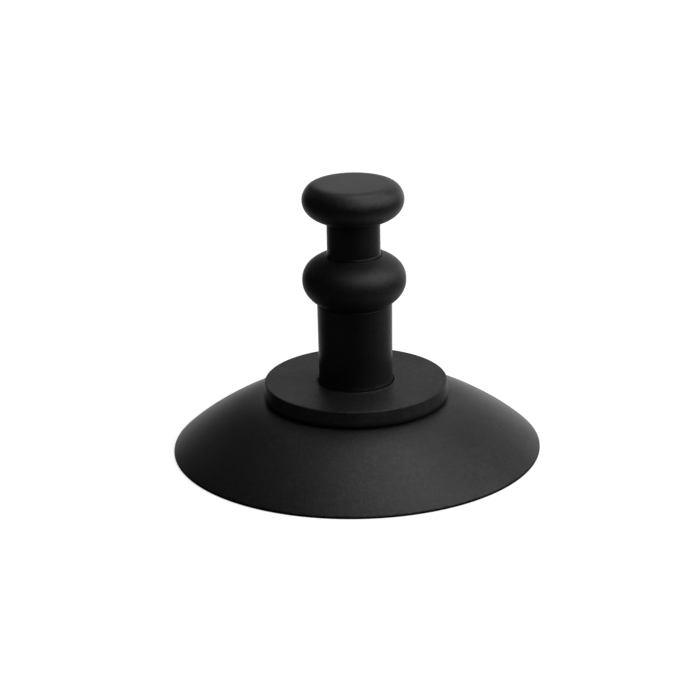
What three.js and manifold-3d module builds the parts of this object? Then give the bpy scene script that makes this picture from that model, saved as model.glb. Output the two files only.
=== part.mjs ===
// Compact sink plunger: a shallow rubber force cup clamped under a collar disc,
// with a short two-bulb push handle stacked on one through bolt.
// Millimetres, +Z up. The origin is on the cup's axis, on the plane of its lip.

import * as THREE from 'three';
import * as BufferGeometryUtils from 'three/addons/utils/BufferGeometryUtils.js';
import Module from 'manifold-3d';

// ---------------------------------------------------------------- shared dimensions

// Facets round each turned piece.
const CUP_FACETS = 64;
const DISC_FACETS = 48;
const BULB_FACETS = 48;
const SMALL_FACETS = 32;

// Segments round each extruded arc.
const PLATE_SEGMENTS = 48;
const WASHER_SEGMENTS = 28;

// M8 through bolt and the holes that fit it.
const BOLT_R = 3.9;
const CLEARANCE_BORE_R = BOLT_R + 0.4;   // collar, post, ring, neck and knob washer
const THREAD_BORE_R = BOLT_R + 0.15;     // nut and knob insert
const BOLT_SQUARE = 8.0;

const EDGE_CHAMFER = 0.25;               // top edges of the post and neck

// Clamped stack: crown, collar, then washers and nut on the collar's recess.
const CUP_SEAT_Z = 17.45;                // top of the crown, where the collar sits
const CUP_CROWN_THICK = 3.2;
const CROWN_UNDER_Z = CUP_SEAT_Z - CUP_CROWN_THICK;
const PLATE_THICK = 1.5;
const PLATE_UNDER_Z = CROWN_UNDER_Z - PLATE_THICK;

const COLLAR_TOP_Z = 23.33;
const COLLAR_RECESS_DEPTH = 1.0;
const RECESS_Z = COLLAR_TOP_Z - COLLAR_RECESS_DEPTH;
const SEAL_GROOVE_DEPTH = 1.9;

const FLAT_THICK = 1.6;
const LOCK_THICK = 2.0;
const LOCK_Z = RECESS_Z + FLAT_THICK;
const NUT_Z = LOCK_Z + LOCK_THICK;

// Joints up the handle.
const POST_TOP_Z = 50.0;
const NECK_TOP_Z = 76.45;
const KNOB_WASHER_THICK = 0.9;
const KNOB_FOOT_Z = NECK_TOP_Z + KNOB_WASHER_THICK;

// Insert in the knob.
const INSERT_R = 6.0;
const INSERT_LENGTH = 8.2;

// ---------------------------------------------------------------- materials

const nonMetal = ({ color, roughness }) =>
  new THREE.MeshStandardMaterial({ color, roughness, metalness: 0 });
const metal = ({ color }) =>
  new THREE.MeshStandardMaterial({ color, roughness: 0.35, metalness: 1 });

const cupRubber = nonMetal({ color: 0x1d1d1d, roughness: 0.62 });
const sealRubber = nonMetal({ color: 0x151515, roughness: 0.5 });
const collarPlastic = nonMetal({ color: 0x1a1a1a, roughness: 0.55 });
const handlePlastic = nonMetal({ color: 0x171717, roughness: 0.5 });
const steel = metal({ color: 0xa9acb0 });
const brass = metal({ color: 0xb08d4a });

// ---------------------------------------------------------------- turned shapes

// Turns a profile of [radius, height] pairs about Z. With radius to the right and
// height up, profiles run anticlockwise, so that faces point outward.
function turned(profile, facets) {
  const points = profile.map(([radius, z]) => new THREE.Vector2(radius, z));
  return new THREE.LatheGeometry(points, facets).rotateX(Math.PI / 2);
}

// Turns a profile closed on itself, for a piece with a hole down its axis.
function turnedRing(profile, facets) {
  return turned([...profile, profile[0]], facets);
}

// Plain tube between two heights.
function tube(boreR, outerR, bottomZ, topZ) {
  return turnedRing([
    [boreR, bottomZ], [outerR, bottomZ], [outerR, topZ], [boreR, topZ],
  ], DISC_FACETS);
}

// Profile points at even steps of angle over a quarter turn, both ends included.
function quarterTurn(steps, pointAt) {
  return Array.from({ length: steps + 1 }, (_, i) => pointAt((Math.PI / 2) * i / steps));
}

// Height at a radius on a superellipse flank:
// |radius/widestR|^exponent + |(z - midZ)/reach|^exponent = 1.
// A negative reach puts the flank below midZ.
function flankZ(radius, { widestR, midZ, reach, exponent }) {
  const remainder = Math.max(0, 1 - Math.pow(radius / widestR, exponent));
  return midZ + reach * Math.pow(remainder, 1 / exponent);
}

// Points of a flank between two radii, at even steps of its parametric angle.
function flankPoints(fromR, toR, flank, steps) {
  const { widestR, exponent } = flank;
  const angleAt = (radius) => Math.acos(Math.min(1, Math.pow(radius / widestR, exponent / 2)));
  const start = angleAt(fromR);
  const end = angleAt(toR);
  return Array.from({ length: steps + 1 }, (_, i) => {
    const angle = start + (end - start) * i / steps;
    const radius = widestR * Math.pow(Math.cos(angle), 2 / exponent);
    return [radius, flankZ(radius, flank)];
  });
}

// ---------------------------------------------------------------- extruded shapes

function extruded(shape, depth, curveSegments) {
  return new THREE.ExtrudeGeometry(shape, { depth, bevelEnabled: false, curveSegments });
}

function disc(radius) {
  return new THREE.Shape().absarc(0, 0, radius, 0, 2 * Math.PI, false);
}

function roundHole(radius) {
  return new THREE.Path().absarc(0, 0, radius, 0, 2 * Math.PI, true);
}

// ---------------------------------------------------------------- solids

const wasm = await Module();
wasm.setup();

// Welds a geometry and drops its collapsed triangles, for use in booleans.
function solidOf(geometry) {
  const bare = geometry.clone();
  bare.deleteAttribute('normal');
  bare.deleteAttribute('uv');
  const welded = BufferGeometryUtils.mergeVertices(bare, 1e-4);
  const triangles = [];
  for (let i = 0; i < welded.index.count; i += 3) {
    const corners = [0, 1, 2].map((k) => welded.index.getX(i + k));
    if (new Set(corners).size === 3) triangles.push(...corners);
  }
  return new wasm.Manifold(new wasm.Mesh({
    numProp: 3,
    vertProperties: new Float32Array(welded.attributes.position.array),
    triVerts: new Uint32Array(triangles),
  }));
}

function geometryOf(solid) {
  const mesh = solid.getMesh();
  const positions = new Float32Array(mesh.numVert * 3);
  for (let i = 0; i < mesh.numVert; i++) {
    for (let k = 0; k < 3; k++) {
      positions[3 * i + k] = mesh.vertProperties[mesh.numProp * i + k];
    }
  }
  const geometry = new THREE.BufferGeometry();
  geometry.setAttribute('position', new THREE.BufferAttribute(positions, 3));
  geometry.setIndex(new THREE.BufferAttribute(new Uint32Array(mesh.triVerts), 1));
  geometry.computeVertexNormals();
  return geometry;
}

// ---------------------------------------------------------------- force cup

const LIP_OUTER_R = 59.8;        // outer edge of the flat sealing lip
const CUP_BORE_R = 4.4;

// Outside of the dome as [radius, height], from the lip to the seat.
const CUP_OUTSIDE = [
  [60.0, 0.55], [58.35, 2.15], [56.46, 3.69], [53.9, 5.72], [51.14, 7.66], [48.3, 9.54],
  [45.24, 11.37], [42.4, 13.0], [39.33, 14.6], [36.6, 15.75], [33.6, 16.75],
  [30.6, CUP_SEAT_Z],
];
// Inside of the dome as [radius, height], from the clamp seat back to the lip.
const CUP_INSIDE = [
  [23.0, CROWN_UNDER_Z], [27.5, 13.75], [32.5, 12.9], [37.5, 11.5], [42.5, 9.15],
  [47.5, 6.25], [52.0, 3.7], [55.6, 1.75], [58.3, 0.35], [58.5, 0.0],
];

function forceCup() {
  return turnedRing([
    [LIP_OUTER_R, 0],
    ...CUP_OUTSIDE,
    [CUP_BORE_R, CUP_SEAT_Z],
    [CUP_BORE_R, CROWN_UNDER_Z],
    ...CUP_INSIDE,
  ], CUP_FACETS);
}

// ---------------------------------------------------------------- collar and seal

const COLLAR_FOOT_R = 30.47;
const COLLAR_FOOT_ROUND = 1.8;   // radius under the rim of the foot
const COLLAR_TOP_R = 29.63;
const COLLAR_RIM_BEVEL = 0.4;
const COLLAR_RIM_FLARE = 0.06;   // extra radius at the bottom of the rim bevel
const COLLAR_RECESS_R = 12.4;    // shallow seat that centres the post
const SEAL_GROOVE_R = 6.3;

function collarDisc() {
  const grooveTopZ = CUP_SEAT_Z + SEAL_GROOVE_DEPTH;
  const footRound = quarterTurn(4, (angle) => [
    COLLAR_FOOT_R - COLLAR_FOOT_ROUND * (1 - Math.sin(angle)),
    CUP_SEAT_Z + COLLAR_FOOT_ROUND * (1 - Math.cos(angle)),
  ]);
  return turnedRing([
    [SEAL_GROOVE_R, CUP_SEAT_Z],
    ...footRound,
    [COLLAR_TOP_R + COLLAR_RIM_FLARE, COLLAR_TOP_Z - COLLAR_RIM_BEVEL],
    [COLLAR_TOP_R - COLLAR_RIM_BEVEL, COLLAR_TOP_Z],
    [COLLAR_RECESS_R, COLLAR_TOP_Z],
    [COLLAR_RECESS_R, RECESS_Z],
    [CLEARANCE_BORE_R, RECESS_Z],
    [CLEARANCE_BORE_R, grooveTopZ],
    [SEAL_GROOVE_R, grooveTopZ],
  ], DISC_FACETS);
}

const SEAL_RING_R = 5.1;         // axis to the middle of the cord
const SEAL_CORD_R = 0.9;
const SEAL_CORD_SIDES = 10;

// Ring round the bolt, centred on its own origin.
function sealRing() {
  const cord = Array.from({ length: SEAL_CORD_SIDES }, (_, i) => {
    const angle = 2 * Math.PI * i / SEAL_CORD_SIDES;
    return [SEAL_RING_R + SEAL_CORD_R * Math.cos(angle), SEAL_CORD_R * Math.sin(angle)];
  });
  return turnedRing(cord, SMALL_FACETS);
}

// ---------------------------------------------------------------- plate and bolt

const PLATE_R = 21.0;
const PLATE_SQUARE = BOLT_SQUARE + 0.4;

// Clamp plate inside the cup, with a square hole for the bolt's neck.
function clampPlate() {
  const half = PLATE_SQUARE / 2;
  const corners = [[-half, -half], [-half, half], [half, half], [half, -half]];
  const shape = disc(PLATE_R);
  shape.holes.push(new THREE.Path(corners.map(([x, y]) => new THREE.Vector2(x, y))));
  return extruded(shape, PLATE_THICK, PLATE_SEGMENTS);
}

const BOLT_HEAD_R = 9.5;
const BOLT_HEAD_H = 3.0;
const BOLT_HEAD_EDGE = 0.6;      // straight side above the dome
const BOLT_SQUARE_H = 1.45;
const BOLT_SQUARE_OVERLAP = 0.4; // runs into the head, so the neck and head are one body
const BOLT_TOP_Z = 84.6;
const BOLT_TIP_CHAMFER = 0.7;

// Bolt with a low head, domed downward, and a square neck above it.
function throughBolt() {
  const headTopZ = PLATE_UNDER_Z;
  const dome = quarterTurn(5, (angle) => [
    BOLT_HEAD_R * Math.sin(angle),
    headTopZ - BOLT_HEAD_EDGE - (BOLT_HEAD_H - BOLT_HEAD_EDGE) * Math.cos(angle),
  ]);
  const headAndShank = turned([
    ...dome,
    [BOLT_HEAD_R, headTopZ],
    [BOLT_R, headTopZ],
    [BOLT_R, BOLT_TOP_Z - BOLT_TIP_CHAMFER],
    [BOLT_R - BOLT_TIP_CHAMFER, BOLT_TOP_Z],
    [0, BOLT_TOP_Z],
  ], SMALL_FACETS);
  const neck = new THREE.BoxGeometry(
    BOLT_SQUARE, BOLT_SQUARE, BOLT_SQUARE_H + BOLT_SQUARE_OVERLAP,
  ).translate(0, 0, headTopZ + (BOLT_SQUARE_H - BOLT_SQUARE_OVERLAP) / 2);
  return geometryOf(solidOf(headAndShank).add(solidOf(neck)));
}

// ---------------------------------------------------------------- washers and nut

const FLAT_INNER_R = 4.2;
const FLAT_OUTER_R = 8.0;

function flatWasher() {
  const shape = disc(FLAT_OUTER_R);
  shape.holes.push(roundHole(FLAT_INNER_R));
  return extruded(shape, FLAT_THICK, WASHER_SEGMENTS);
}

const LOCK_INNER_R = 4.15;
const LOCK_OUTER_R = 7.3;
const LOCK_GAP_DEG = 14;

// Split lock washer, its gap centred on +X.
function springWasher() {
  const start = THREE.MathUtils.degToRad(LOCK_GAP_DEG / 2);
  const end = 2 * Math.PI - start;
  const shape = new THREE.Shape();
  shape.absarc(0, 0, LOCK_OUTER_R, start, end, false);
  shape.absarc(0, 0, LOCK_INNER_R, end, start, true);
  shape.closePath();
  return extruded(shape, LOCK_THICK, WASHER_SEGMENTS);
}

const NUT_ACROSS_FLATS = 13.0;
const NUT_THICK = 6.5;

// Hexagon nut, with a corner on +X.
function collarNut() {
  const cornerR = NUT_ACROSS_FLATS / 2 / Math.cos(Math.PI / 6);
  const corners = Array.from({ length: 6 }, (_, i) => {
    const angle = Math.PI * i / 3;
    return new THREE.Vector2(cornerR * Math.cos(angle), cornerR * Math.sin(angle));
  });
  const shape = new THREE.Shape(corners);
  shape.holes.push(roundHole(THREAD_BORE_R));
  return extruded(shape, NUT_THICK, WASHER_SEGMENTS);
}

// ---------------------------------------------------------------- post, grip ring, neck

const POST_FOOT_R = 11.93;
const POST_TOP_R = 12.12;
const POST_POCKET_R = 8.4;       // room for the nut and its washers
const POST_POCKET_TOP_Z = 33.2;

function stemPost() {
  return turnedRing([
    [POST_POCKET_R, RECESS_Z],
    [POST_FOOT_R, RECESS_Z],
    [POST_TOP_R, POST_TOP_Z - EDGE_CHAMFER],
    [POST_TOP_R - EDGE_CHAMFER, POST_TOP_Z],
    [CLEARANCE_BORE_R, POST_TOP_Z],
    [CLEARANCE_BORE_R, POST_POCKET_TOP_Z],
    [POST_POCKET_R, POST_POCKET_TOP_Z],
  ], BULB_FACETS);
}

const RING_R = 16.76;
const RING_MID_Z = 57.63;
const RING_LOWER = { widestR: RING_R, midZ: RING_MID_Z, reach: -10.47, exponent: 2.06 };
const RING_UPPER = { widestR: RING_R, midZ: RING_MID_Z, reach: 9.52, exponent: 2.311 };
const RING_FOOT_R = 11.9;
const RING_FLANK_START_R = 12.25;
const RING_LAND_R = 9.3;         // narrow flat land round the foot of the neck
const RING_LAND_Z = flankZ(RING_LAND_R, RING_UPPER);

function gripRing() {
  return turnedRing([
    [CLEARANCE_BORE_R, POST_TOP_Z],
    [RING_FOOT_R, POST_TOP_Z],
    ...flankPoints(RING_FLANK_START_R, RING_R, RING_LOWER, 6),
    ...flankPoints(RING_R, RING_LAND_R, RING_UPPER, 8).slice(1),
    [CLEARANCE_BORE_R, RING_LAND_Z],
  ], BULB_FACETS);
}

const NECK_R = 8.6;

function neckSleeve() {
  return turnedRing([
    [CLEARANCE_BORE_R, RING_LAND_Z],
    [NECK_R, RING_LAND_Z],
    [NECK_R, NECK_TOP_Z - EDGE_CHAMFER],
    [NECK_R - EDGE_CHAMFER, NECK_TOP_Z],
    [CLEARANCE_BORE_R, NECK_TOP_Z],
  ], DISC_FACETS);
}

// ---------------------------------------------------------------- knob

const KNOB_WASHER_R = 8.9;

function knobWasher() {
  return tube(CLEARANCE_BORE_R, KNOB_WASHER_R, NECK_TOP_Z, KNOB_FOOT_Z);
}

const KNOB_R = 16.41;
const KNOB_MID_Z = 84.93;
const KNOB_LOWER = { widestR: KNOB_R, midZ: KNOB_MID_Z, reach: -8.36, exponent: 2.417 };
const KNOB_FOOT_R = 8.75;
const KNOB_FLANK_START_R = 9.0;
const KNOB_TOP_Z = 89.8;
const KNOB_TOP_R = 12.69;        // edge of the flat top
const KNOB_SHOULDER_EXPONENT = 1.628;
const INSERT_CLEAR = 0.15;       // round the insert
const KNOB_POCKET_EXTRA = 0.75;  // above the insert

// Knob with a flat top and a blind pocket for the insert.
function topKnob() {
  const pocketR = INSERT_R + INSERT_CLEAR;
  const pocketTopZ = KNOB_FOOT_Z + INSERT_LENGTH + KNOB_POCKET_EXTRA;
  const power = 2 / KNOB_SHOULDER_EXPONENT;
  const shoulder = quarterTurn(6, (angle) => [
    KNOB_TOP_R + (KNOB_R - KNOB_TOP_R) * Math.pow(Math.cos(angle), power),
    KNOB_MID_Z + (KNOB_TOP_Z - KNOB_MID_Z) * Math.pow(Math.sin(angle), power),
  ]);
  return turned([
    [0, pocketTopZ],
    [pocketR, pocketTopZ],
    [pocketR, KNOB_FOOT_Z],
    [KNOB_FOOT_R, KNOB_FOOT_Z],
    ...flankPoints(KNOB_FLANK_START_R, KNOB_R, KNOB_LOWER, 8),
    ...shoulder.slice(1),
    [0, KNOB_TOP_Z],
  ], BULB_FACETS);
}

function knobInsert() {
  return tube(THREAD_BORE_R, INSERT_R, KNOB_FOOT_Z, KNOB_FOOT_Z + INSERT_LENGTH);
}

// ---------------------------------------------------------------- assembly

function add(parent, name, geometry, material, z = 0) {
  const mesh = new THREE.Mesh(geometry, material);
  mesh.name = name;
  mesh.position.z = z;
  parent.add(mesh);
}

const plunger = new THREE.Group();
const handle = new THREE.Group();
const knob = new THREE.Group();

add(plunger, 'force_cup', forceCup(), cupRubber);

plunger.add(handle);
add(handle, 'collar_disc', collarDisc(), collarPlastic);
add(handle, 'bolt_seal_ring', sealRing(), sealRubber, CUP_SEAT_Z + SEAL_GROOVE_DEPTH / 2);
add(handle, 'inner_clamp_plate', clampPlate(), steel, PLATE_UNDER_Z);
add(handle, 'through_bolt', throughBolt(), steel);
add(handle, 'flat_washer', flatWasher(), steel, RECESS_Z);
add(handle, 'spring_washer', springWasher(), steel, LOCK_Z);
add(handle, 'collar_nut', collarNut(), steel, NUT_Z);
add(handle, 'stem_post', stemPost(), handlePlastic);
add(handle, 'grip_ring', gripRing(), handlePlastic);
add(handle, 'neck_sleeve', neckSleeve(), handlePlastic);

add(plunger, 'knob_washer', knobWasher(), handlePlastic);

plunger.add(knob);
add(knob, 'top_knob', topKnob(), handlePlastic);
add(knob, 'knob_insert', knobInsert(), brass);

export default plunger;
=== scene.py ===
"""Looks of a compact sink plunger: a rubber force cup, a clamped collar, a post with a grip
ring, and a knob on a central bolt.

It stands on z = 0 with its axis on +Z, and the camera looks at it from -Y. Pieces are drawn in
millimetres and built in metres. Profiles are lists of (radius, height) about the axis.
"""

import math
from typing import NamedTuple

import bmesh
import bpy
import numpy as np
from mathutils import Matrix, Vector


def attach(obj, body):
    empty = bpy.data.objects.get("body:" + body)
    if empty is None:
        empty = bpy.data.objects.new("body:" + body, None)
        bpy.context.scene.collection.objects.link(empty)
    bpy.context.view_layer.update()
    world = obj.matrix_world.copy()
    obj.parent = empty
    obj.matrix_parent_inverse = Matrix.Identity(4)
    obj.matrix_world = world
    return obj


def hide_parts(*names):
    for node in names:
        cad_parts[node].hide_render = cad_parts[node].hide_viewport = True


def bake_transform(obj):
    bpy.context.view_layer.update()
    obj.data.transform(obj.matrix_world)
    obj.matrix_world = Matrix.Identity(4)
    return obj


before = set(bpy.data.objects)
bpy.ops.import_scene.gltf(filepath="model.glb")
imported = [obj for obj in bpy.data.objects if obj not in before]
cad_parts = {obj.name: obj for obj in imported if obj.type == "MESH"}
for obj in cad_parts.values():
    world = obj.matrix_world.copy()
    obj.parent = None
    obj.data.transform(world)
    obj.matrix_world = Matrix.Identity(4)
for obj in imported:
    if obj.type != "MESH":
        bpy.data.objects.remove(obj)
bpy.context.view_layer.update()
MM = 0.001

# ------------------------------------------------------------------ mesh tools


def new_piece(name, verts, faces, uvs):
    """A smooth-shaded mesh object from vertices in millimetres, its normals facing out."""
    mesh = bpy.data.meshes.new(name)
    mesh.from_pydata((verts * MM).tolist(), [], faces)
    layer = mesh.uv_layers.new(name="UVMap")
    layer.data.foreach_set("uv", np.asarray(uvs, np.float32).ravel())
    work = bmesh.new()
    work.from_mesh(mesh)
    bmesh.ops.recalc_face_normals(work, faces=work.faces)
    for face in work.faces:
        face.smooth = True
    work.to_mesh(mesh)
    work.free()
    obj = bpy.data.objects.new(name, mesh)
    bpy.context.scene.collection.objects.link(obj)
    return obj


def skin(name, loops, ring=False):
    """Joins closed loops of equally many points into one closed mesh.

    ring joins the last loop to the first; otherwise both ends get a fan of triangles.
    """
    sides = len(loops[0])
    verts = np.concatenate(loops)
    steps = [np.mean(np.linalg.norm(b - a, axis=1)) for a, b in zip(loops, loops[1:])]
    along = np.concatenate([[0], np.cumsum(steps)])
    along = np.append(along / along[-1], 1.0)
    faces, uvs = [], []
    for row in range(len(loops) if ring else len(loops) - 1):
        this, after = row * sides, (row + 1) % len(loops) * sides
        v0, v1 = along[row], along[row + 1]
        for i in range(sides):
            k = (i + 1) % sides
            u0, u1 = i / sides, (i + 1) / sides
            faces.append((this + i, this + k, after + k, after + i))
            uvs += [(u0, v0), (u1, v0), (u1, v1), (u0, v1)]
    if not ring:
        for start, v in ((0, 0.0), ((len(loops) - 1) * sides, 1.0)):
            centre = len(verts)
            verts = np.vstack([verts, verts[start:start + sides].mean(0)])
            for i in range(sides):
                faces.append((start + i, start + (i + 1) % sides, centre))
                uvs += [(i / sides, v), ((i + 1) / sides, v), ((i + 0.5) / sides, v)]
    return new_piece(name, verts, faces, uvs)


def circle(radius, z, sides):
    """A level loop round the axis. radius is one number, or one for each point."""
    angle = 2 * np.pi * np.arange(sides) / sides
    return np.stack([radius * np.cos(angle), radius * np.sin(angle), np.full(sides, z)], 1)


def lathe(name, profile, sides, closed=True):
    """Turns a profile. A closed one has a hole down its axis."""
    return skin(name, [circle(radius, z, sides) for radius, z in profile], ring=closed)


def rounded(points, radii, steps=4):
    """Turns the inner corners of a polyline into arcs, with one radius for each in order."""
    points = [np.array(p, float) for p in points]
    out = [points[0]]
    for before, corner, after, radius in zip(points, points[1:], points[2:], radii):
        back, ahead = before - corner, after - corner
        back_length, ahead_length = np.linalg.norm(back), np.linalg.norm(ahead)
        back, ahead = back / back_length, ahead / ahead_length
        half = math.acos(max(-1, min(1, float(back @ ahead)))) / 2
        # the arc takes less than half of either side
        cut = min(radius / math.tan(half), 0.48 * back_length, 0.48 * ahead_length)
        radius = cut * math.tan(half)
        middle = (back + ahead) / np.linalg.norm(back + ahead)
        centre = corner + middle * radius / math.sin(half)
        first, last = corner + back * cut - centre, corner + ahead * cut - centre
        turn = math.acos(max(-1, min(1, float(first @ last) / radius ** 2)))
        for k in range(steps + 1):
            t = k / steps
            mixed = math.sin((1 - t) * turn) * first + math.sin(t * turn) * last
            out.append(centre + mixed / math.sin(turn))
    return out + [points[-1]]


def support(points, near, longest):
    """Adds points close to both ends of each long side of a closed outline, and splits the rest.

    The shading then stays flat across the side.
    """
    points = [np.array(p, float) for p in points]
    out = []
    for start, end in zip(points, points[1:] + points[:1]):
        length = float(np.linalg.norm(end - start))
        out.append(start)
        if length > 4 * near:
            inner = max(1, int(math.ceil((length - 2 * near) / longest)))
            cuts = [near / length]
            cuts += [(near + (length - 2 * near) * k / inner) / length for k in range(1, inner)]
            cuts += [1 - near / length]
            out += [start + (end - start) * cut for cut in cuts]
    return out


def eased(points, reach, spacing):
    """Resamples a polyline evenly and averages it over reach, which softens its creases."""
    points = np.array(points, float)
    steps = np.linalg.norm(np.diff(points, axis=0), axis=1)
    along = np.concatenate([[0], np.cumsum(steps)])
    count = int(along[-1] / spacing) + 1
    at = np.linspace(0, along[-1], count)
    even = np.stack([np.interp(at, along, points[:, k]) for k in (0, 1)], 1)
    half = max(1, int(reach / (along[-1] / (count - 1)) / 2))
    for _ in range(2):
        held = even.copy()
        for i in range(1, count - 1):
            span = min(half, i, count - 1 - i)
            even[i] = held[i - span:i + span + 1].mean(0)
    return even


class Bulge(NamedTuple):
    """A quarter of a superellipse: widest at the middle height, height is negative below it."""
    radius: float
    height: float
    power: float
    middle: float

    def at(self, radius):
        """The (radius, z) point on the curve."""
        level = (1 - (radius / self.radius) ** self.power) ** (1 / self.power)
        return radius, self.middle + self.height * level

    def points(self, start, end, count):
        """Points from radius start to radius end, evenly spaced in angle."""
        first, last = (math.acos((r / self.radius) ** (self.power / 2)) for r in (start, end))
        angles = [first + (last - first) * i / count for i in range(count + 1)]
        return [self.at(self.radius * math.cos(a) ** (2 / self.power)) for a in angles]


# ------------------------------------------------------------------ material tools


class Nodes:
    """A short way to write a node tree."""

    def __init__(self, tree):
        self.tree = tree
        self.tree.nodes.clear()

    def add(self, kind, **settings):
        node = self.tree.nodes.new(kind)
        for key, value in settings.items():
            setattr(node, key, value)
        return node

    def link(self, output, target):
        self.tree.links.new(output, target)

    def feed(self, socket, source):
        """Links source if it is a socket, and otherwise sets it as the value."""
        if isinstance(source, bpy.types.NodeSocket):
            self.link(source, socket)
        else:
            socket.default_value = source

    def math(self, operation, first, second=None, clamp=False):
        node = self.add("ShaderNodeMath", operation=operation, use_clamp=clamp)
        self.feed(node.inputs[0], first)
        if second is not None:
            self.feed(node.inputs[1], second)
        return node.outputs[0]

    def swing(self, noise, amount):
        """A noise moved to swing about zero, then scaled."""
        return self.math("MULTIPLY", self.math("SUBTRACT", noise, 0.5), amount)

    def noise(self, vector, scale, detail, rough, distortion=0.0):
        node = self.add("ShaderNodeTexNoise")
        self.link(vector, node.inputs["Vector"])
        node.inputs["Scale"].default_value = scale
        node.inputs["Detail"].default_value = detail
        node.inputs["Roughness"].default_value = rough
        node.inputs["Distortion"].default_value = distortion
        return node.outputs["Fac"]

    def polar(self, coord):
        """Distance from the object's axis, and height."""
        split = self.add("ShaderNodeSeparateXYZ")
        self.link(coord, split.inputs[0])
        x, y, z = split.outputs
        squares = self.math("ADD", self.math("MULTIPLY", x, x), self.math("MULTIPLY", y, y))
        return self.math("SQRT", squares), z

    def rings(self, radius, z, scale, detail, rough):
        """Noise that is constant round the axis, for turning marks."""
        at = self.add("ShaderNodeCombineXYZ")
        self.link(radius, at.inputs[0])
        self.link(z, at.inputs[2])
        return self.noise(at.outputs[0], scale, detail, rough)

    def ramp(self, value, low, high, out_low=0.0, out_high=1.0):
        node = self.add("ShaderNodeMapRange", interpolation_type="SMOOTHSTEP")
        self.link(value, node.inputs["Value"])
        node.inputs["From Min"].default_value = low
        node.inputs["From Max"].default_value = high
        node.inputs["To Min"].default_value = out_low
        node.inputs["To Max"].default_value = out_high
        return node.outputs["Result"]

    def shaded(self, colour, shade):
        """A fixed colour multiplied by a grey shade."""
        node = self.add("ShaderNodeMix", data_type="RGBA", blend_type="MULTIPLY")
        node.inputs[0].default_value = 1.0
        node.inputs[6].default_value = colour
        mono = self.add("ShaderNodeCombineColor")
        for i in range(3):
            self.link(shade, mono.inputs[i])
        self.link(mono.outputs[0], node.inputs[7])
        return node.outputs[2]

    def bump(self, height, distance, strength, normal=None):
        node = self.add("ShaderNodeBump")
        node.inputs["Strength"].default_value = strength
        node.inputs["Distance"].default_value = distance
        self.link(height, node.inputs["Height"])
        if normal is not None:
            self.link(normal, node.inputs["Normal"])
        return node.outputs["Normal"]


def new_material(name):
    material = bpy.data.materials.new(name)
    material.use_nodes = True
    return material, Nodes(material.node_tree)


def principled(name):
    """A material with a Principled shader, its node tree, the shader and object coordinates."""
    material, tree = new_material(name)
    shader = tree.add("ShaderNodeBsdfPrincipled")
    out = tree.add("ShaderNodeOutputMaterial")
    tree.link(shader.outputs[0], out.inputs["Surface"])
    return material, tree, shader, tree.add("ShaderNodeTexCoord").outputs["Object"]


CREASE_MM = 1.5      # size of the pattern of fine creases


def creases(tree, coord):
    """Fine wandering creases: the middle lines of a warped noise, showing in patches."""
    bent = tree.add("ShaderNodeVectorMath", operation="ADD")
    push = tree.add("ShaderNodeVectorMath", operation="SCALE")
    wander = tree.add("ShaderNodeTexNoise")
    tree.link(coord, wander.inputs["Vector"])
    wander.inputs["Scale"].default_value = 300.0 / CREASE_MM
    wander.inputs["Detail"].default_value = 3.0
    tree.link(wander.outputs["Color"], push.inputs[0])
    push.inputs["Scale"].default_value = 0.0022 * CREASE_MM
    tree.link(coord, bent.inputs[0])
    tree.link(push.outputs[0], bent.inputs[1])
    wave = tree.noise(bent.outputs[0], scale=560.0 / CREASE_MM, detail=2.0, rough=0.6,
                      distortion=0.8)
    off_line = tree.math("ABSOLUTE", tree.math("SUBTRACT", wave, 0.5))
    crease = tree.ramp(off_line, low=0.0, high=0.045, out_low=1.0, out_high=0.0)
    patches = tree.noise(coord, scale=62.0, detail=2.0, rough=0.5)
    return tree.math("MULTIPLY", crease, tree.ramp(patches, low=0.40, high=0.62))


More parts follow.
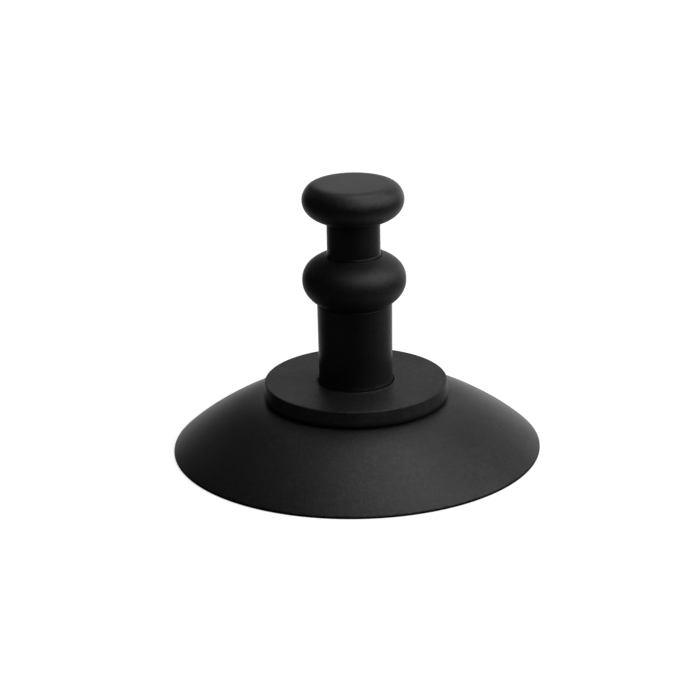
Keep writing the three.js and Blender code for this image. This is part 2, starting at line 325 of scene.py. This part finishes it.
def black_moulding(name, base, rough, grain_mm, grain_depth, marks, blotch, specular=0.5,
                   warm=0.0, crease_tone=0.0, lip_shade_height=0.0):
    """Black moulded plastic or rubber: fine grain, mottling and broken rings round the axis.

    grain_depth and lip_shade_height are in metres. marks is the strength of the rings and blotch
    that of the mottling. crease_tone adds creases, and lip_shade_height paints shade on the rim
    below it.
    """
    material, tree, shader, coord = principled(name)
    radius, z = tree.polar(coord)
    cloud = tree.noise(coord, scale=90.0, detail=3.0, rough=0.55)
    cloud_big = tree.noise(coord, scale=28.0, detail=2.0, rough=0.5, distortion=0.4)
    mottle = tree.noise(coord, scale=1000.0 / (grain_mm * 5.5), detail=3.0, rough=0.65,
                        distortion=0.6)
    speck = tree.noise(coord, scale=1000.0 / (grain_mm * 2.3), detail=2.0, rough=0.7)
    grain = tree.noise(coord, scale=1000.0 / grain_mm, detail=3.0, rough=0.6)
    # the large clouds make the rings fade in and out
    rings = tree.rings(radius, z, scale=2600.0, detail=2.0, rough=0.6)
    rings = tree.math("MULTIPLY", tree.math("SUBTRACT", rings, 0.5),
                      tree.ramp(cloud_big, low=0.4, high=0.65))

    # colour
    tone = tree.math("ADD", tree.swing(cloud, blotch), tree.swing(speck, blotch * 1.5))
    tone = tree.math("ADD", tone, tree.swing(mottle, blotch * 2.0))
    tone = tree.math("ADD", tone, tree.math("MULTIPLY", rings, marks * 0.5))
    if crease_tone:
        crackle = creases(tree, coord)
        tone = tree.math("ADD", tone, tree.math("MULTIPLY", crackle, crease_tone))
    shade = tree.math("MAXIMUM", tree.math("ADD", tone, 1.0), 0.2)
    if lip_shade_height:
        # painted shade along the edge of the lip, in place of the floor's shadow there; the
        # mottling makes its border uneven
        edge = tree.math("ADD", z, tree.swing(mottle, 0.0004))
        low_down = tree.ramp(edge, low=lip_shade_height * 0.75, high=lip_shade_height * 1.25,
                             out_low=0.80, out_high=0.0)
        far_out = tree.ramp(radius, low=0.0585, high=0.0593)
        painted_lip_shade = tree.math("MULTIPLY", low_down, far_out)
        shade = tree.math("MULTIPLY", shade, tree.math("SUBTRACT", 1.0, painted_lip_shade))
    colour = (base * (1 + warm), base, base * (1 - warm), 1.0)
    tree.link(tree.shaded(colour, shade), shader.inputs["Base Color"])

    # roughness, and a sheen that carries the same mottling as the colour
    value = tree.math("ADD", rough, tree.swing(cloud_big, 0.14))
    value = tree.math("ADD", value, tree.swing(speck, 0.16))
    ring_rough = tree.math("MULTIPLY", rings, marks * 0.4)
    value = tree.math("ADD", value, ring_rough, clamp=True)
    tree.link(value, shader.inputs["Roughness"])
    tree.link(tree.math("MULTIPLY", shade, specular, clamp=True),
              shader.inputs["Specular IOR Level"])

    # relief
    height = tree.math("ADD", grain, tree.math("MULTIPLY", speck, 1.4))
    height = tree.math("ADD", height, tree.math("MULTIPLY", rings, marks * 2.0))
    normal = tree.bump(mottle, distance=grain_depth * 1.6, strength=0.8)
    if crease_tone:
        normal = tree.bump(crackle, distance=grain_depth * 0.5, strength=0.8, normal=normal)
    normal = tree.bump(height, distance=grain_depth, strength=0.8, normal=normal)
    tree.link(normal, shader.inputs["Normal"])
    return material


def metal(name, base, rough, brushed):
    """Plated or turned metal: rings round the axis, small scuffs, cloudy plating."""
    material, tree, shader, coord = principled(name)
    radius, z = tree.polar(coord)
    rings = tree.rings(radius, z, scale=5200.0, detail=3.0, rough=0.65)
    cloud = tree.noise(coord, scale=160.0, detail=4.0, rough=0.6)
    scuff = tree.noise(coord, scale=900.0, detail=2.0, rough=0.7, distortion=1.5)
    tone = tree.math("ADD", 0.82, tree.math("MULTIPLY", cloud, 0.36))
    tree.link(tree.shaded(base, tone), shader.inputs["Base Color"])
    shader.inputs["Metallic"].default_value = 1.0
    value = tree.math("ADD", rough, tree.swing(rings, brushed))
    value = tree.math("ADD", value, tree.swing(scuff, 0.14), clamp=True)
    tree.link(value, shader.inputs["Roughness"])
    tree.link(tree.bump(rings, distance=0.000012, strength=0.6), shader.inputs["Normal"])
    return material


# lip_shade_height sets how high the painted shade reaches up the cup's lip
CUP = black_moulding(
    "cup_rubber", base=0.0083, rough=0.48, grain_mm=0.32, grain_depth=0.000022, marks=0.35,
    blotch=0.22, specular=0.55, warm=0.02, crease_tone=0.17, lip_shade_height=0.0008)
COLLAR = black_moulding(
    "collar_plastic", base=0.0130, rough=0.52, grain_mm=0.30, grain_depth=0.000028, marks=1.0,
    blotch=0.50, specular=0.43)
# the handle pieces share one surface and differ in tone and sheen
HANDLE_GRAIN = dict(grain_mm=0.26, grain_depth=0.000014, marks=0.5, blotch=0.32)
HANDLE = black_moulding("handle_plastic", base=0.0060, rough=0.42, specular=0.56, **HANDLE_GRAIN)
GRIP = black_moulding("grip_plastic", base=0.0065, rough=0.51, specular=0.57, **HANDLE_GRAIN)
KNOB = black_moulding("knob_plastic", base=0.0060, rough=0.46, specular=0.64, **HANDLE_GRAIN)
WASHER = black_moulding(
    "washer_plastic", base=0.006, rough=0.50, grain_mm=0.26, grain_depth=0.000010, marks=0.8,
    blotch=0.18)
SEAL = black_moulding(
    "seal_rubber", base=0.012, rough=0.40, grain_mm=0.20, grain_depth=0.000008, marks=0.3,
    blotch=0.15)
PLATE = metal("plate_steel", base=(0.50, 0.50, 0.51, 1), rough=0.34, brushed=0.30)
STEEL = metal("bolt_steel", base=(0.53, 0.53, 0.54, 1), rough=0.30, brushed=0.18)
BRASS = metal("insert_brass", base=(0.60, 0.44, 0.18, 1), rough=0.28, brushed=0.22)


def finish_piece(obj, material, body="handle"):
    """Gives a piece its material and body, in place of the CAD piece it is named after."""
    obj.data.materials.append(material)
    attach(obj, body)
    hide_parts(obj.name.removesuffix("_skin"))


# ------------------------------------------------------------------ shared sizes, millimetres

GAP = 0.01               # between faces that meet
BORE = 4.3               # hole through the plastic pieces for the bolt

CROWN_Z = 17.45          # flat top of the cup
SEAT_Z = 14.25           # seat of the clamp plate, under the crown
COLLAR_TOP = 23.33
COLLAR_FLOOR = 22.34     # bottom of the recess in the collar's top
POST_TOP = 50.0
GRIP_BASE = POST_TOP + 0.02
NECK_TOP = 76.45
KNOB_FOOT = NECK_TOP + 0.9

# ------------------------------------------------------------------ force cup

# (radius, z) down the middle of the curve fits
CUP_OUTER = np.array([
    (60.0, 0.62), (58.35, 2.15), (56.46, 3.69), (53.9, 5.72), (51.14, 7.66), (48.3, 9.54),
    (45.24, 11.37), (42.4, 13.0), (39.33, 14.6), (36.6, 15.75), (33.6, 16.75), (30.6, 17.45)])
CUP_INNER = np.array([
    (24.5, 14.15), (27.5, 13.75), (32.5, 12.9), (37.5, 11.5), (42.5, 9.15), (47.5, 6.25),
    (52.0, 3.7), (55.6, 1.75), (58.3, 0.35)])
# low rings inside the hollow: (radius, half width, height)
CUP_RINGS = ((50.6, 0.9, 0.30), (53.6, 0.9, 0.30), (40.0, 0.8, 0.16))
CUP_RADIUS = 60.0
CUP_HOLE = 4.4
DOME_EDGE = 30.9         # where the dome meets the crown
HOLLOW_FLOOR = 0.36      # lowest z of the hollow's surface


def make_cup():
    dome = np.polynomial.Polynomial.fit(CUP_OUTER[:, 0], CUP_OUTER[:, 1], 5)
    hollow = np.polynomial.Polynomial.fit(CUP_INNER[:, 0], CUP_INNER[:, 1], 6)
    # sealing lip, flat on the floor with small radii on its edges
    profile = rounded(
        [(58.35, 0.34), (58.55, 0.0), (59.86, 0.0), (CUP_RADIUS, 0.16), (CUP_RADIUS, 0.56),
         (59.55, 1.02)],
        [0.16, 0.14, 0.1, 0.22])[1:-1]
    # outside of the dome, the edge of the crown, then the flat under the collar
    profile += [(radius, float(dome(radius))) for radius in np.linspace(59.45, DOME_EDGE, 60)]
    top = float(dome(DOME_EDGE))
    profile.append((30.2, top + (CROWN_Z - top) * 0.8))
    profile += [(radius, CROWN_Z) for radius in (29.6, 28.8, 20.0, 10.0)]
    profile += rounded(
        [(5.2, CROWN_Z), (CUP_HOLE, CROWN_Z), (CUP_HOLE, SEAT_Z), (5.2, SEAT_Z)],
        [0.25, 0.25], steps=3)
    # seat of the clamp plate and the border round it
    profile += rounded(
        [(8.0, SEAT_Z), (21.25, SEAT_Z), (21.6, 13.55), (23.2, 13.5), (24.0, 14.0)],
        [0.2, 0.25, 0.5])
    for radius in np.linspace(24.9, 58.2, 96):
        z = float(hollow(radius))
        for middle, half_width, height in CUP_RINGS:
            z -= height * math.exp(-((radius - middle) / half_width) ** 4)
        profile.append((radius, max(z, HOLLOW_FLOOR)))
    skin_obj = lathe("force_cup_skin", profile, 288)
    skin_obj.data.materials.append(CUP)
    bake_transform(skin_obj)
    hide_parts("force_cup")


# ------------------------------------------------------------------ collar, seal and plate


def make_collar():
    """Collar disc: sloping rim, low bead round the recess, counterbore underneath."""
    base, top, floor = CROWN_Z + GAP, COLLAR_TOP, COLLAR_FLOOR
    recess, counterbore, counterbore_top = 12.4, 6.3, 19.35
    profile = rounded(
        [(counterbore, base), (30.47, base), (29.63, top), (13.5, top), (13.3, top - 0.07),
         (13.1, top - 0.05), (12.95, top + 0.07), (12.65, top + 0.07), (recess, top - 0.16),
         (recess, floor), (BORE, floor), (BORE, counterbore_top),
         (counterbore, counterbore_top)],
        [1.8, 0.45, 0.1, 0.08, 0.08, 0.1, 0.1, 0.08, 0.15, 0.15, 0.1], steps=6)
    disc = lathe("collar_disc_skin", support(profile, near=0.12, longest=2.2), 256)
    finish_piece(disc, COLLAR)


def make_seal():
    """Round-section ring in the collar's counterbore."""
    ring_radius, ring_z, thickness, steps = 5.1, 18.4, 0.88, 20
    angles = [2 * math.pi * i / steps for i in range(steps)]
    profile = [(ring_radius + thickness * math.cos(a), ring_z + thickness * math.sin(a))
               for a in angles]
    finish_piece(lathe("bolt_seal_ring_skin", profile, 96), SEAL)


def square_radius(half, sides):
    """Radius of a square with rounded corners, seen from its centre, at even angles."""
    angle = 2 * np.pi * np.arange(sides) / sides
    power = 14.0
    return half / (np.abs(np.cos(angle)) ** power + np.abs(np.sin(angle)) ** power) ** (1 / power)


def make_plate():
    """Clamp plate under the crown, with a square hole and a pressed ring underneath."""
    sides, top, low, rim = 128, 14.22, 12.76, 20.95
    hole = square_radius(4.2, sides)
    # the hole's wall with eased edges: (how far outside the hole, z)
    wall = ((0.35, top), (0.08, top - 0.06), (0.0, top - 0.3), (0.0, low + 0.3),
            (0.08, low + 0.06), (0.35, low))
    # pressed ring: (radius, height above the underside)
    pressed = ((11.8, 0.0), (12.1, 0.1), (12.5, 0.22), (12.9, 0.22), (13.3, 0.1), (13.6, 0.0))
    sections = rounded([(15.0, low), (rim, low), (rim, top), (15.0, top)], [0.55, 0.2])
    sections += [(10.0, top)]
    sections += [(hole + offset, z) for offset, z in wall]
    sections += [(10.0, low)]
    sections += [(radius, low + rise) for radius, rise in pressed]
    finish_piece(lathe("inner_clamp_plate_skin", sections, sides), PLATE)


# ------------------------------------------------------------------ bolt, washers and nut

PITCH = 1.25
THREAD_MAJOR, THREAD_MINOR = 3.92, 3.28
THREAD_START = 22.0
HOLE_CREST = 4.06        # smallest radius of a threaded hole


def thread_wave(z, sides):
    """A triangle wave round the axis, 0 to 1, that climbs one pitch each turn."""
    return np.abs(((z / PITCH - np.arange(sides) / sides) % 1.0) * 2 - 1)


def make_bolt():
    """Carriage bolt, head down: domed head, square neck, shank and thread."""
    sides = 96
    head_radius, head_rise, rim_z = 9.5, 2.4, 12.15
    sections = [(0.6, rim_z - head_rise)]
    for i in range(1, 13):
        angle = math.pi / 2 * i / 12
        sections.append((head_radius * math.sin(angle), rim_z - head_rise * math.cos(angle)))
    sections += [(head_radius, 12.5), (9.42, 12.68), (9.25, 12.75), (7.0, 12.75)]
    neck = square_radius(4.0, sides)
    sections += [(neck + 0.12, 12.76), (neck, 12.9), (neck, 14.0), (neck - 0.12, 14.16)]
    sections += [(3.95, 14.2), (3.9, 14.3), (3.9, 20.0), (3.9, 21.9)]
    z = THREAD_START
    while z < 83.9:
        # the thread deepens at its start and is tapered at its end
        fade = min(1.0, max(0.0, (z - THREAD_START) / 1.2))
        taper = max(0.0, (z - 83.3) / 0.6)
        crest = np.clip((thread_wave(z, sides) - 0.12) / 0.76, 0, 1)
        radius = THREAD_MAJOR - (THREAD_MAJOR - THREAD_MINOR) * fade * (1 - crest)
        sections.append((np.minimum(radius, THREAD_MAJOR - 0.55 * taper), z))
        z += PITCH / 10
    sections += [(3.25, 84.2), (3.0, 84.5), (2.8, 84.58), (1.2, 84.6)]
    bolt = lathe("through_bolt_skin", sections, sides, closed=False)
    finish_piece(bolt, STEEL)


def make_flat_washer():
    hole, rim, low, top = 4.2, 8.0, COLLAR_FLOOR, 23.92
    profile = rounded(
        [(6.0, low), (rim, low), (rim, top), (hole, top), (hole, low), (6.0, low)],
        [0.12, 0.4, 0.3, 0.12])[:-1]
    washer = lathe("flat_washer_skin", support(profile, near=0.1, longest=1.2), 128)
    finish_piece(washer, STEEL)


def make_spring_washer():
    """Split washer, its ends cut square."""
    hole, rim, low, top = 4.17, 7.28, 23.95, 25.9
    section = rounded(
        [(5.6, low), (rim, low), (rim, top), (hole, top), (hole, low), (5.6, low)],
        [0.25] * 4, steps=3)[:-1]
    rows = 90
    gap = math.radians(7)    # half of the opening
    loops = []
    for i in range(rows + 1):
        angle = gap + (2 * math.pi - 2 * gap) * i / rows
        loops.append(np.array([(r * math.cos(angle), r * math.sin(angle), z)
                               for r, z in section]))
    finish_piece(skin("spring_washer_skin", loops), STEEL)


def threaded_hole(low, high, depth, sides):
    """Sections of a threaded hole with coned ends, from high down to low."""
    sections = []
    z = high
    while z > low:
        cone = HOLE_CREST + max(0.0, 0.4 - min(high - z, z - low))
        thread = HOLE_CREST + depth * thread_wave(z, sides)
        sections.append((np.maximum(thread, cone), z))
        z -= PITCH / 8
    return sections


def make_nut():
    """Hexagonal nut with chamfered corners."""
    sides, low, high, half_flats = 120, 25.94, 32.42, 6.5
    angle = 2 * np.pi * np.arange(sides) / sides
    hexagon = half_flats / np.cos((angle + np.pi / 6) % (np.pi / 3) - np.pi / 6)
    heights = np.concatenate([
        np.linspace(low, low + 1.0, 8),
        np.linspace(low + 1.0, high - 1.0, 6)[1:-1],
        np.linspace(high - 1.0, high, 8)])
    sections = [(np.minimum(hexagon, 6.25 + min(z - low, high - z) * 1.73), z) for z in heights]
    sections += [(5.2, high), (4.45, high)]
    sections += threaded_hole(low, high, 0.2, sides)
    sections += [(4.45, low), (5.2, low)]
    finish_piece(lathe("collar_nut_skin", sections, sides), STEEL)


# ------------------------------------------------------------------ post, grip ring, neck


def make_post():
    """Post with a shallow waist near its foot and a wide socket over the nut."""
    base, radius, socket, socket_top = 22.36, 12.12, 8.4, 33.2
    profile = rounded(
        [(socket, base), (11.8, base), (radius, 22.7), (radius, 23.6), (11.94, 24.6),
         (radius, 49.84), (11.96, POST_TOP), (BORE, POST_TOP), (BORE, socket_top),
         (socket, socket_top)],
        [0.2, 0.2, 0.6, 1.2, 0.25, 0.08, 0.15, 0.3])
    post = lathe("stem_post_skin", support(profile, near=0.12, longest=2.5), 192)
    finish_piece(post, HANDLE)


GRIP_RADIUS, GRIP_MIDDLE = 16.76, 57.63
GRIP_LOWER = Bulge(GRIP_RADIUS, height=-10.47, power=2.06, middle=GRIP_MIDDLE)
GRIP_UPPER = Bulge(GRIP_RADIUS, height=9.52, power=2.311, middle=GRIP_MIDDLE)
LAND_Z = GRIP_UPPER.at(9.3)[1]       # narrow land round the foot of the neck
# the land's fine raised edge, going in: (radius, height above LAND_Z)
LAND_EDGE = (
    (9.6, -0.10), (9.52, -0.02), (9.42, 0.05), (9.3, 0.075), (9.15, 0.06), (9.0, 0.0),
    (8.92, -0.07), (8.85, -0.13), (8.6, -0.14), (6.5, -0.14), (BORE, -0.14))


def make_grip():
    profile = [(BORE, GRIP_BASE), (8.0, GRIP_BASE)]
    profile += rounded(
        [(11.0, GRIP_BASE), (11.92, GRIP_BASE), (12.34, 50.24), GRIP_LOWER.at(13.0)],
        [0.2, 0.35], steps=3)[:-1]
    profile += GRIP_LOWER.points(12.7, GRIP_RADIUS, 26)
    profile += GRIP_UPPER.points(GRIP_RADIUS, 9.75, 30)[1:]
    profile += [(radius, LAND_Z + rise) for radius, rise in LAND_EDGE]
    grip = lathe("grip_ring_skin", support(profile, near=0.12, longest=1.5), 192)
    finish_piece(grip, GRIP)


def make_neck():
    foot, top, radius = LAND_Z - 0.1, NECK_TOP - GAP, 8.6
    profile = rounded(
        [(BORE, foot), (8.78, foot), (8.82, LAND_Z + 0.2), (radius, LAND_Z + 0.9),
         (radius, NECK_TOP - 0.22), (8.36, top), (BORE, top)],
        [0.06, 0.12, 0.8, 0.12, 0.1])
    neck = lathe("neck_sleeve_skin", support(profile, near=0.1, longest=2.0), 160)
    finish_piece(neck, HANDLE)


# ------------------------------------------------------------------ knob and its fittings


def make_knob_washer():
    low, top, rim = NECK_TOP + GAP, KNOB_FOOT - GAP, 8.88
    profile = rounded([(BORE, low), (rim, low), (rim, top), (BORE, top)], [0.24, 0.18])
    washer = lathe("knob_washer_skin", support(profile, near=0.08, longest=2.0), 160)
    finish_piece(washer, WASHER, "knob_carrier")


KNOB_RADIUS, KNOB_MIDDLE = 16.41, 84.93
KNOB_LOWER = Bulge(KNOB_RADIUS, height=-8.36, power=2.417, middle=KNOB_MIDDLE)
KNOB_TOP = 89.8
SHOULDER_RADIUS = 12.69      # where the shoulder meets the flat top
SHOULDER_POWER = 1.628


def make_knob():
    """Knob with a flat top and a socket for the insert."""
    socket, socket_top = 6.15, 86.3
    profile = rounded(
        [(0.8, socket_top), (socket, socket_top), (socket, KNOB_FOOT), (8.5, KNOB_FOOT),
         KNOB_LOWER.at(9.4)],
        [0.3, 0.2, 0.15])[:-1]
    width, rise = KNOB_RADIUS - SHOULDER_RADIUS, KNOB_TOP - KNOB_MIDDLE
    shoulder = []
    for i in range(1, 81):
        angle = math.pi / 2 * i / 80
        shoulder.append((SHOULDER_RADIUS + width * math.cos(angle) ** (2 / SHOULDER_POWER),
                         KNOB_MIDDLE + rise * math.sin(angle) ** (2 / SHOULDER_POWER)))
    outer = eased(KNOB_LOWER.points(9.1, KNOB_RADIUS, 34) + shoulder + [(9.0, KNOB_TOP)],
                  reach=3.2, spacing=0.2)
    # easing narrows the knob, so it is stretched back beyond a fixed core
    core = 10.0
    widest = outer[:, 0].max()
    outer[:, 0] += (KNOB_RADIUS - widest) * np.clip((outer[:, 0] - core) / (widest - core), 0, 1)
    profile += list(outer) + [(radius, KNOB_TOP) for radius in (8.0, 5.0, 2.0, 0.7)]
    knob = lathe("top_knob_skin", profile, 192, closed=False)
    finish_piece(knob, KNOB, "knob")


def make_insert():
    """Threaded insert: a knurled barrel with plain grooves, threaded inside."""
    sides, knurls = 144, 36
    low, high = KNOB_FOOT + GAP, KNOB_FOOT + 8.19
    turn = np.arange(sides) / sides
    sections = []
    for z in np.linspace(low, high, 50):
        share = (z - low) / (high - low)
        if z - low < 0.5:
            radius = 5.98
        elif share < 0.08 or 0.46 < share < 0.56 or share > 0.94:
            radius = 5.62
        else:
            knurl = np.maximum(np.abs(((turn * knurls + z * 0.9) % 1.0) * 2 - 1),
                               np.abs(((turn * knurls - z * 0.9) % 1.0) * 2 - 1))
            radius = 6.0 - 0.28 * (1 - knurl)
        sections.append((radius, z))
    sections += [(5.0, high)]
    sections += threaded_hole(low, high, 0.22, sides)
    sections += [(4.5, low), (5.2, low)]
    insert = lathe("knob_insert_skin", sections, sides)
    finish_piece(insert, BRASS, "knob")


# ------------------------------------------------------------------ floor, light, camera


def make_floor():
    """A pale glowing floor, clear from below, that adds no light or shadow to the object."""
    bpy.ops.mesh.primitive_plane_add(size=14, location=(0, 0, -0.00002))
    floor = bpy.context.object
    floor.name = "floor"
    material, tree = new_material("pale_floor")
    plain = tree.add("ShaderNodeBsdfDiffuse")
    plain.inputs["Color"].default_value = (0.80, 0.80, 0.80, 1)
    glow = tree.add("ShaderNodeEmission")
    glow.inputs["Color"].default_value = (1, 1, 1, 1)
    glow.inputs["Strength"].default_value = 0.62
    both = tree.add("ShaderNodeAddShader")
    tree.link(plain.outputs[0], both.inputs[0])
    tree.link(glow.outputs[0], both.inputs[1])
    clear = tree.add("ShaderNodeBsdfTransparent")
    side = tree.add("ShaderNodeMixShader")
    tree.link(tree.add("ShaderNodeNewGeometry").outputs["Backfacing"], side.inputs[0])
    tree.link(both.outputs[0], side.inputs[1])
    tree.link(clear.outputs[0], side.inputs[2])
    tree.link(side.outputs[0], tree.add("ShaderNodeOutputMaterial").inputs["Surface"])
    floor.data.materials.append(material)
    floor.visible_diffuse = False
    floor.visible_glossy = False
    floor.visible_shadow = False


# Soft light as broad lobes round the object, in rows of equal sharpness and elevation:
# sharpness, elevation, then (azimuth, strength) pairs. Angles are in degrees. Azimuth 0 is the
# camera's side and 90 its right.
LOBES = (
    (10.0, -90, ((0, 0.629),)),
    (12.0, -55, ((0, 0.073), (60, 0.367), (120, 0.507), (180, 0.133), (240, 0.156))),
    (20.0, -25, ((90, 0.135), (120, 0.173), (180, 0.391), (300, 0.056), (330, 0.035))),
    (20.0, 0, ((150, 0.167), (270, 0.063))),
    (20.0, 22, ((90, 0.451), (120, 0.152))),
    (20.0, 45, ((36, 0.949), (72, 0.808), (108, 0.106))),
    (20.0, 68, ((0, 0.028), (60, 0.480), (120, 0.559))),
    (60.0, 21, ((50, 0.099), (65, 0.296), (80, 0.363), (95, 0.544), (110, 0.334))),
    (60.0, 34, ((20, 0.384), (35, 0.436), (50, 0.326), (65, 0.424), (80, 0.489), (95, 0.717),
                (110, 0.835))),
    (60.0, 50, ((45, 0.567), (70, 0.209), (95, 0.402))),
    (60.0, 62, ((45, 0.291), (120, 0.288), (145, 0.378))),
    (60.0, 75, ((60, 0.093), (120, 1.691), (180, 0.694))),
    (60.0, -30, ((140, 0.661), (180, 0.113), (200, 0.178), (220, 0.459))),
    (60.0, -18, ((160, 1.043), (180, 0.890), (200, 0.627))),
    (60.0, -6, ((140, 0.510), (160, 1.147), (180, 1.650), (200, 0.965))),
    (60.0, 6, ((140, 0.934), (160, 0.042), (180, 0.461), (200, 0.084))),
    (60.0, 18, ((160, 0.940), (180, 0.388), (220, 0.058))),
    (60.0, 42, ((175, 0.700),)),
    (60.0, 66, ((150, 1.497), (175, 0.274))),
    (60.0, 60, ((0, 1.162),)),
    (60.0, 25, ((225, 0.160),)),
)


def add_lobe(tree, direction, azimuth, elevation, sharpness, strength):
    azimuth, elevation = math.radians(azimuth), math.radians(elevation)
    dot = tree.add("ShaderNodeVectorMath", operation="DOT_PRODUCT")
    tree.link(direction, dot.inputs[0])
    dot.inputs[1].default_value = (math.sin(azimuth) * math.cos(elevation),
                                   -math.cos(azimuth) * math.cos(elevation),
                                   math.sin(elevation))
    facing = tree.math("MAXIMUM", dot.outputs["Value"], 0.0)
    return tree.math("MULTIPLY", tree.math("POWER", facing, sharpness), strength)


def make_world():
    """The lobes light the object, while the camera sees plain white."""
    world = bpy.data.worlds.new("soft_studio")
    bpy.context.scene.world = world
    world.use_nodes = True
    tree = Nodes(world.node_tree)
    direction = tree.add("ShaderNodeTexCoord").outputs["Generated"]
    total = None
    for sharpness, elevation, row in LOBES:
        for azimuth, strength in row:
            lobe = add_lobe(tree, direction, azimuth, elevation, sharpness, strength)
            total = lobe if total is None else tree.math("ADD", total, lobe)
    soft = tree.add("ShaderNodeBackground")
    soft.inputs["Color"].default_value = (1, 1, 1, 1)
    tree.link(total, soft.inputs["Strength"])
    seen = tree.add("ShaderNodeBackground")
    seen.inputs["Color"].default_value = (1, 1, 1, 1)
    seen.inputs["Strength"].default_value = 1.0
    pick = tree.add("ShaderNodeMixShader")
    tree.link(tree.add("ShaderNodeLightPath").outputs["Is Camera Ray"], pick.inputs[0])
    tree.link(soft.outputs[0], pick.inputs[1])
    tree.link(seen.outputs[0], pick.inputs[2])
    tree.link(pick.outputs[0], tree.add("ShaderNodeOutputWorld").inputs["Surface"])


def make_camera():
    """Looks from -Y, a little from above, with a slight roll. Lengths are in metres."""
    target = Vector((-0.00176, 0.0, 0.03338))
    distance, elevation, roll = 0.8363, math.radians(20.27), math.radians(1.0)
    scene = bpy.context.scene
    camera = bpy.data.objects.new("camera", bpy.data.cameras.new("camera"))
    scene.collection.objects.link(camera)
    back = Vector((0.0, -math.cos(elevation), math.sin(elevation)))
    camera.matrix_world = (Matrix.Translation(target + back * distance)
                           @ (-back).to_track_quat("-Z", "Y").to_matrix().to_4x4()
                           @ Matrix.Rotation(-roll, 4, "Z"))
    camera.data.lens = 132.5
    camera.data.sensor_width = 36.0
    camera.data.clip_start = 0.01
    camera.data.clip_end = 50.0
    scene.camera = camera
    scene.view_settings.view_transform = "Standard"
    scene.view_settings.look = "None"


make_cup()
make_collar()
make_seal()
make_plate()
make_bolt()
make_flat_washer()
make_spring_washer()
make_nut()
make_post()
make_grip()
make_neck()
make_knob_washer()
make_knob()
make_insert()
make_floor()
make_world()
make_camera()
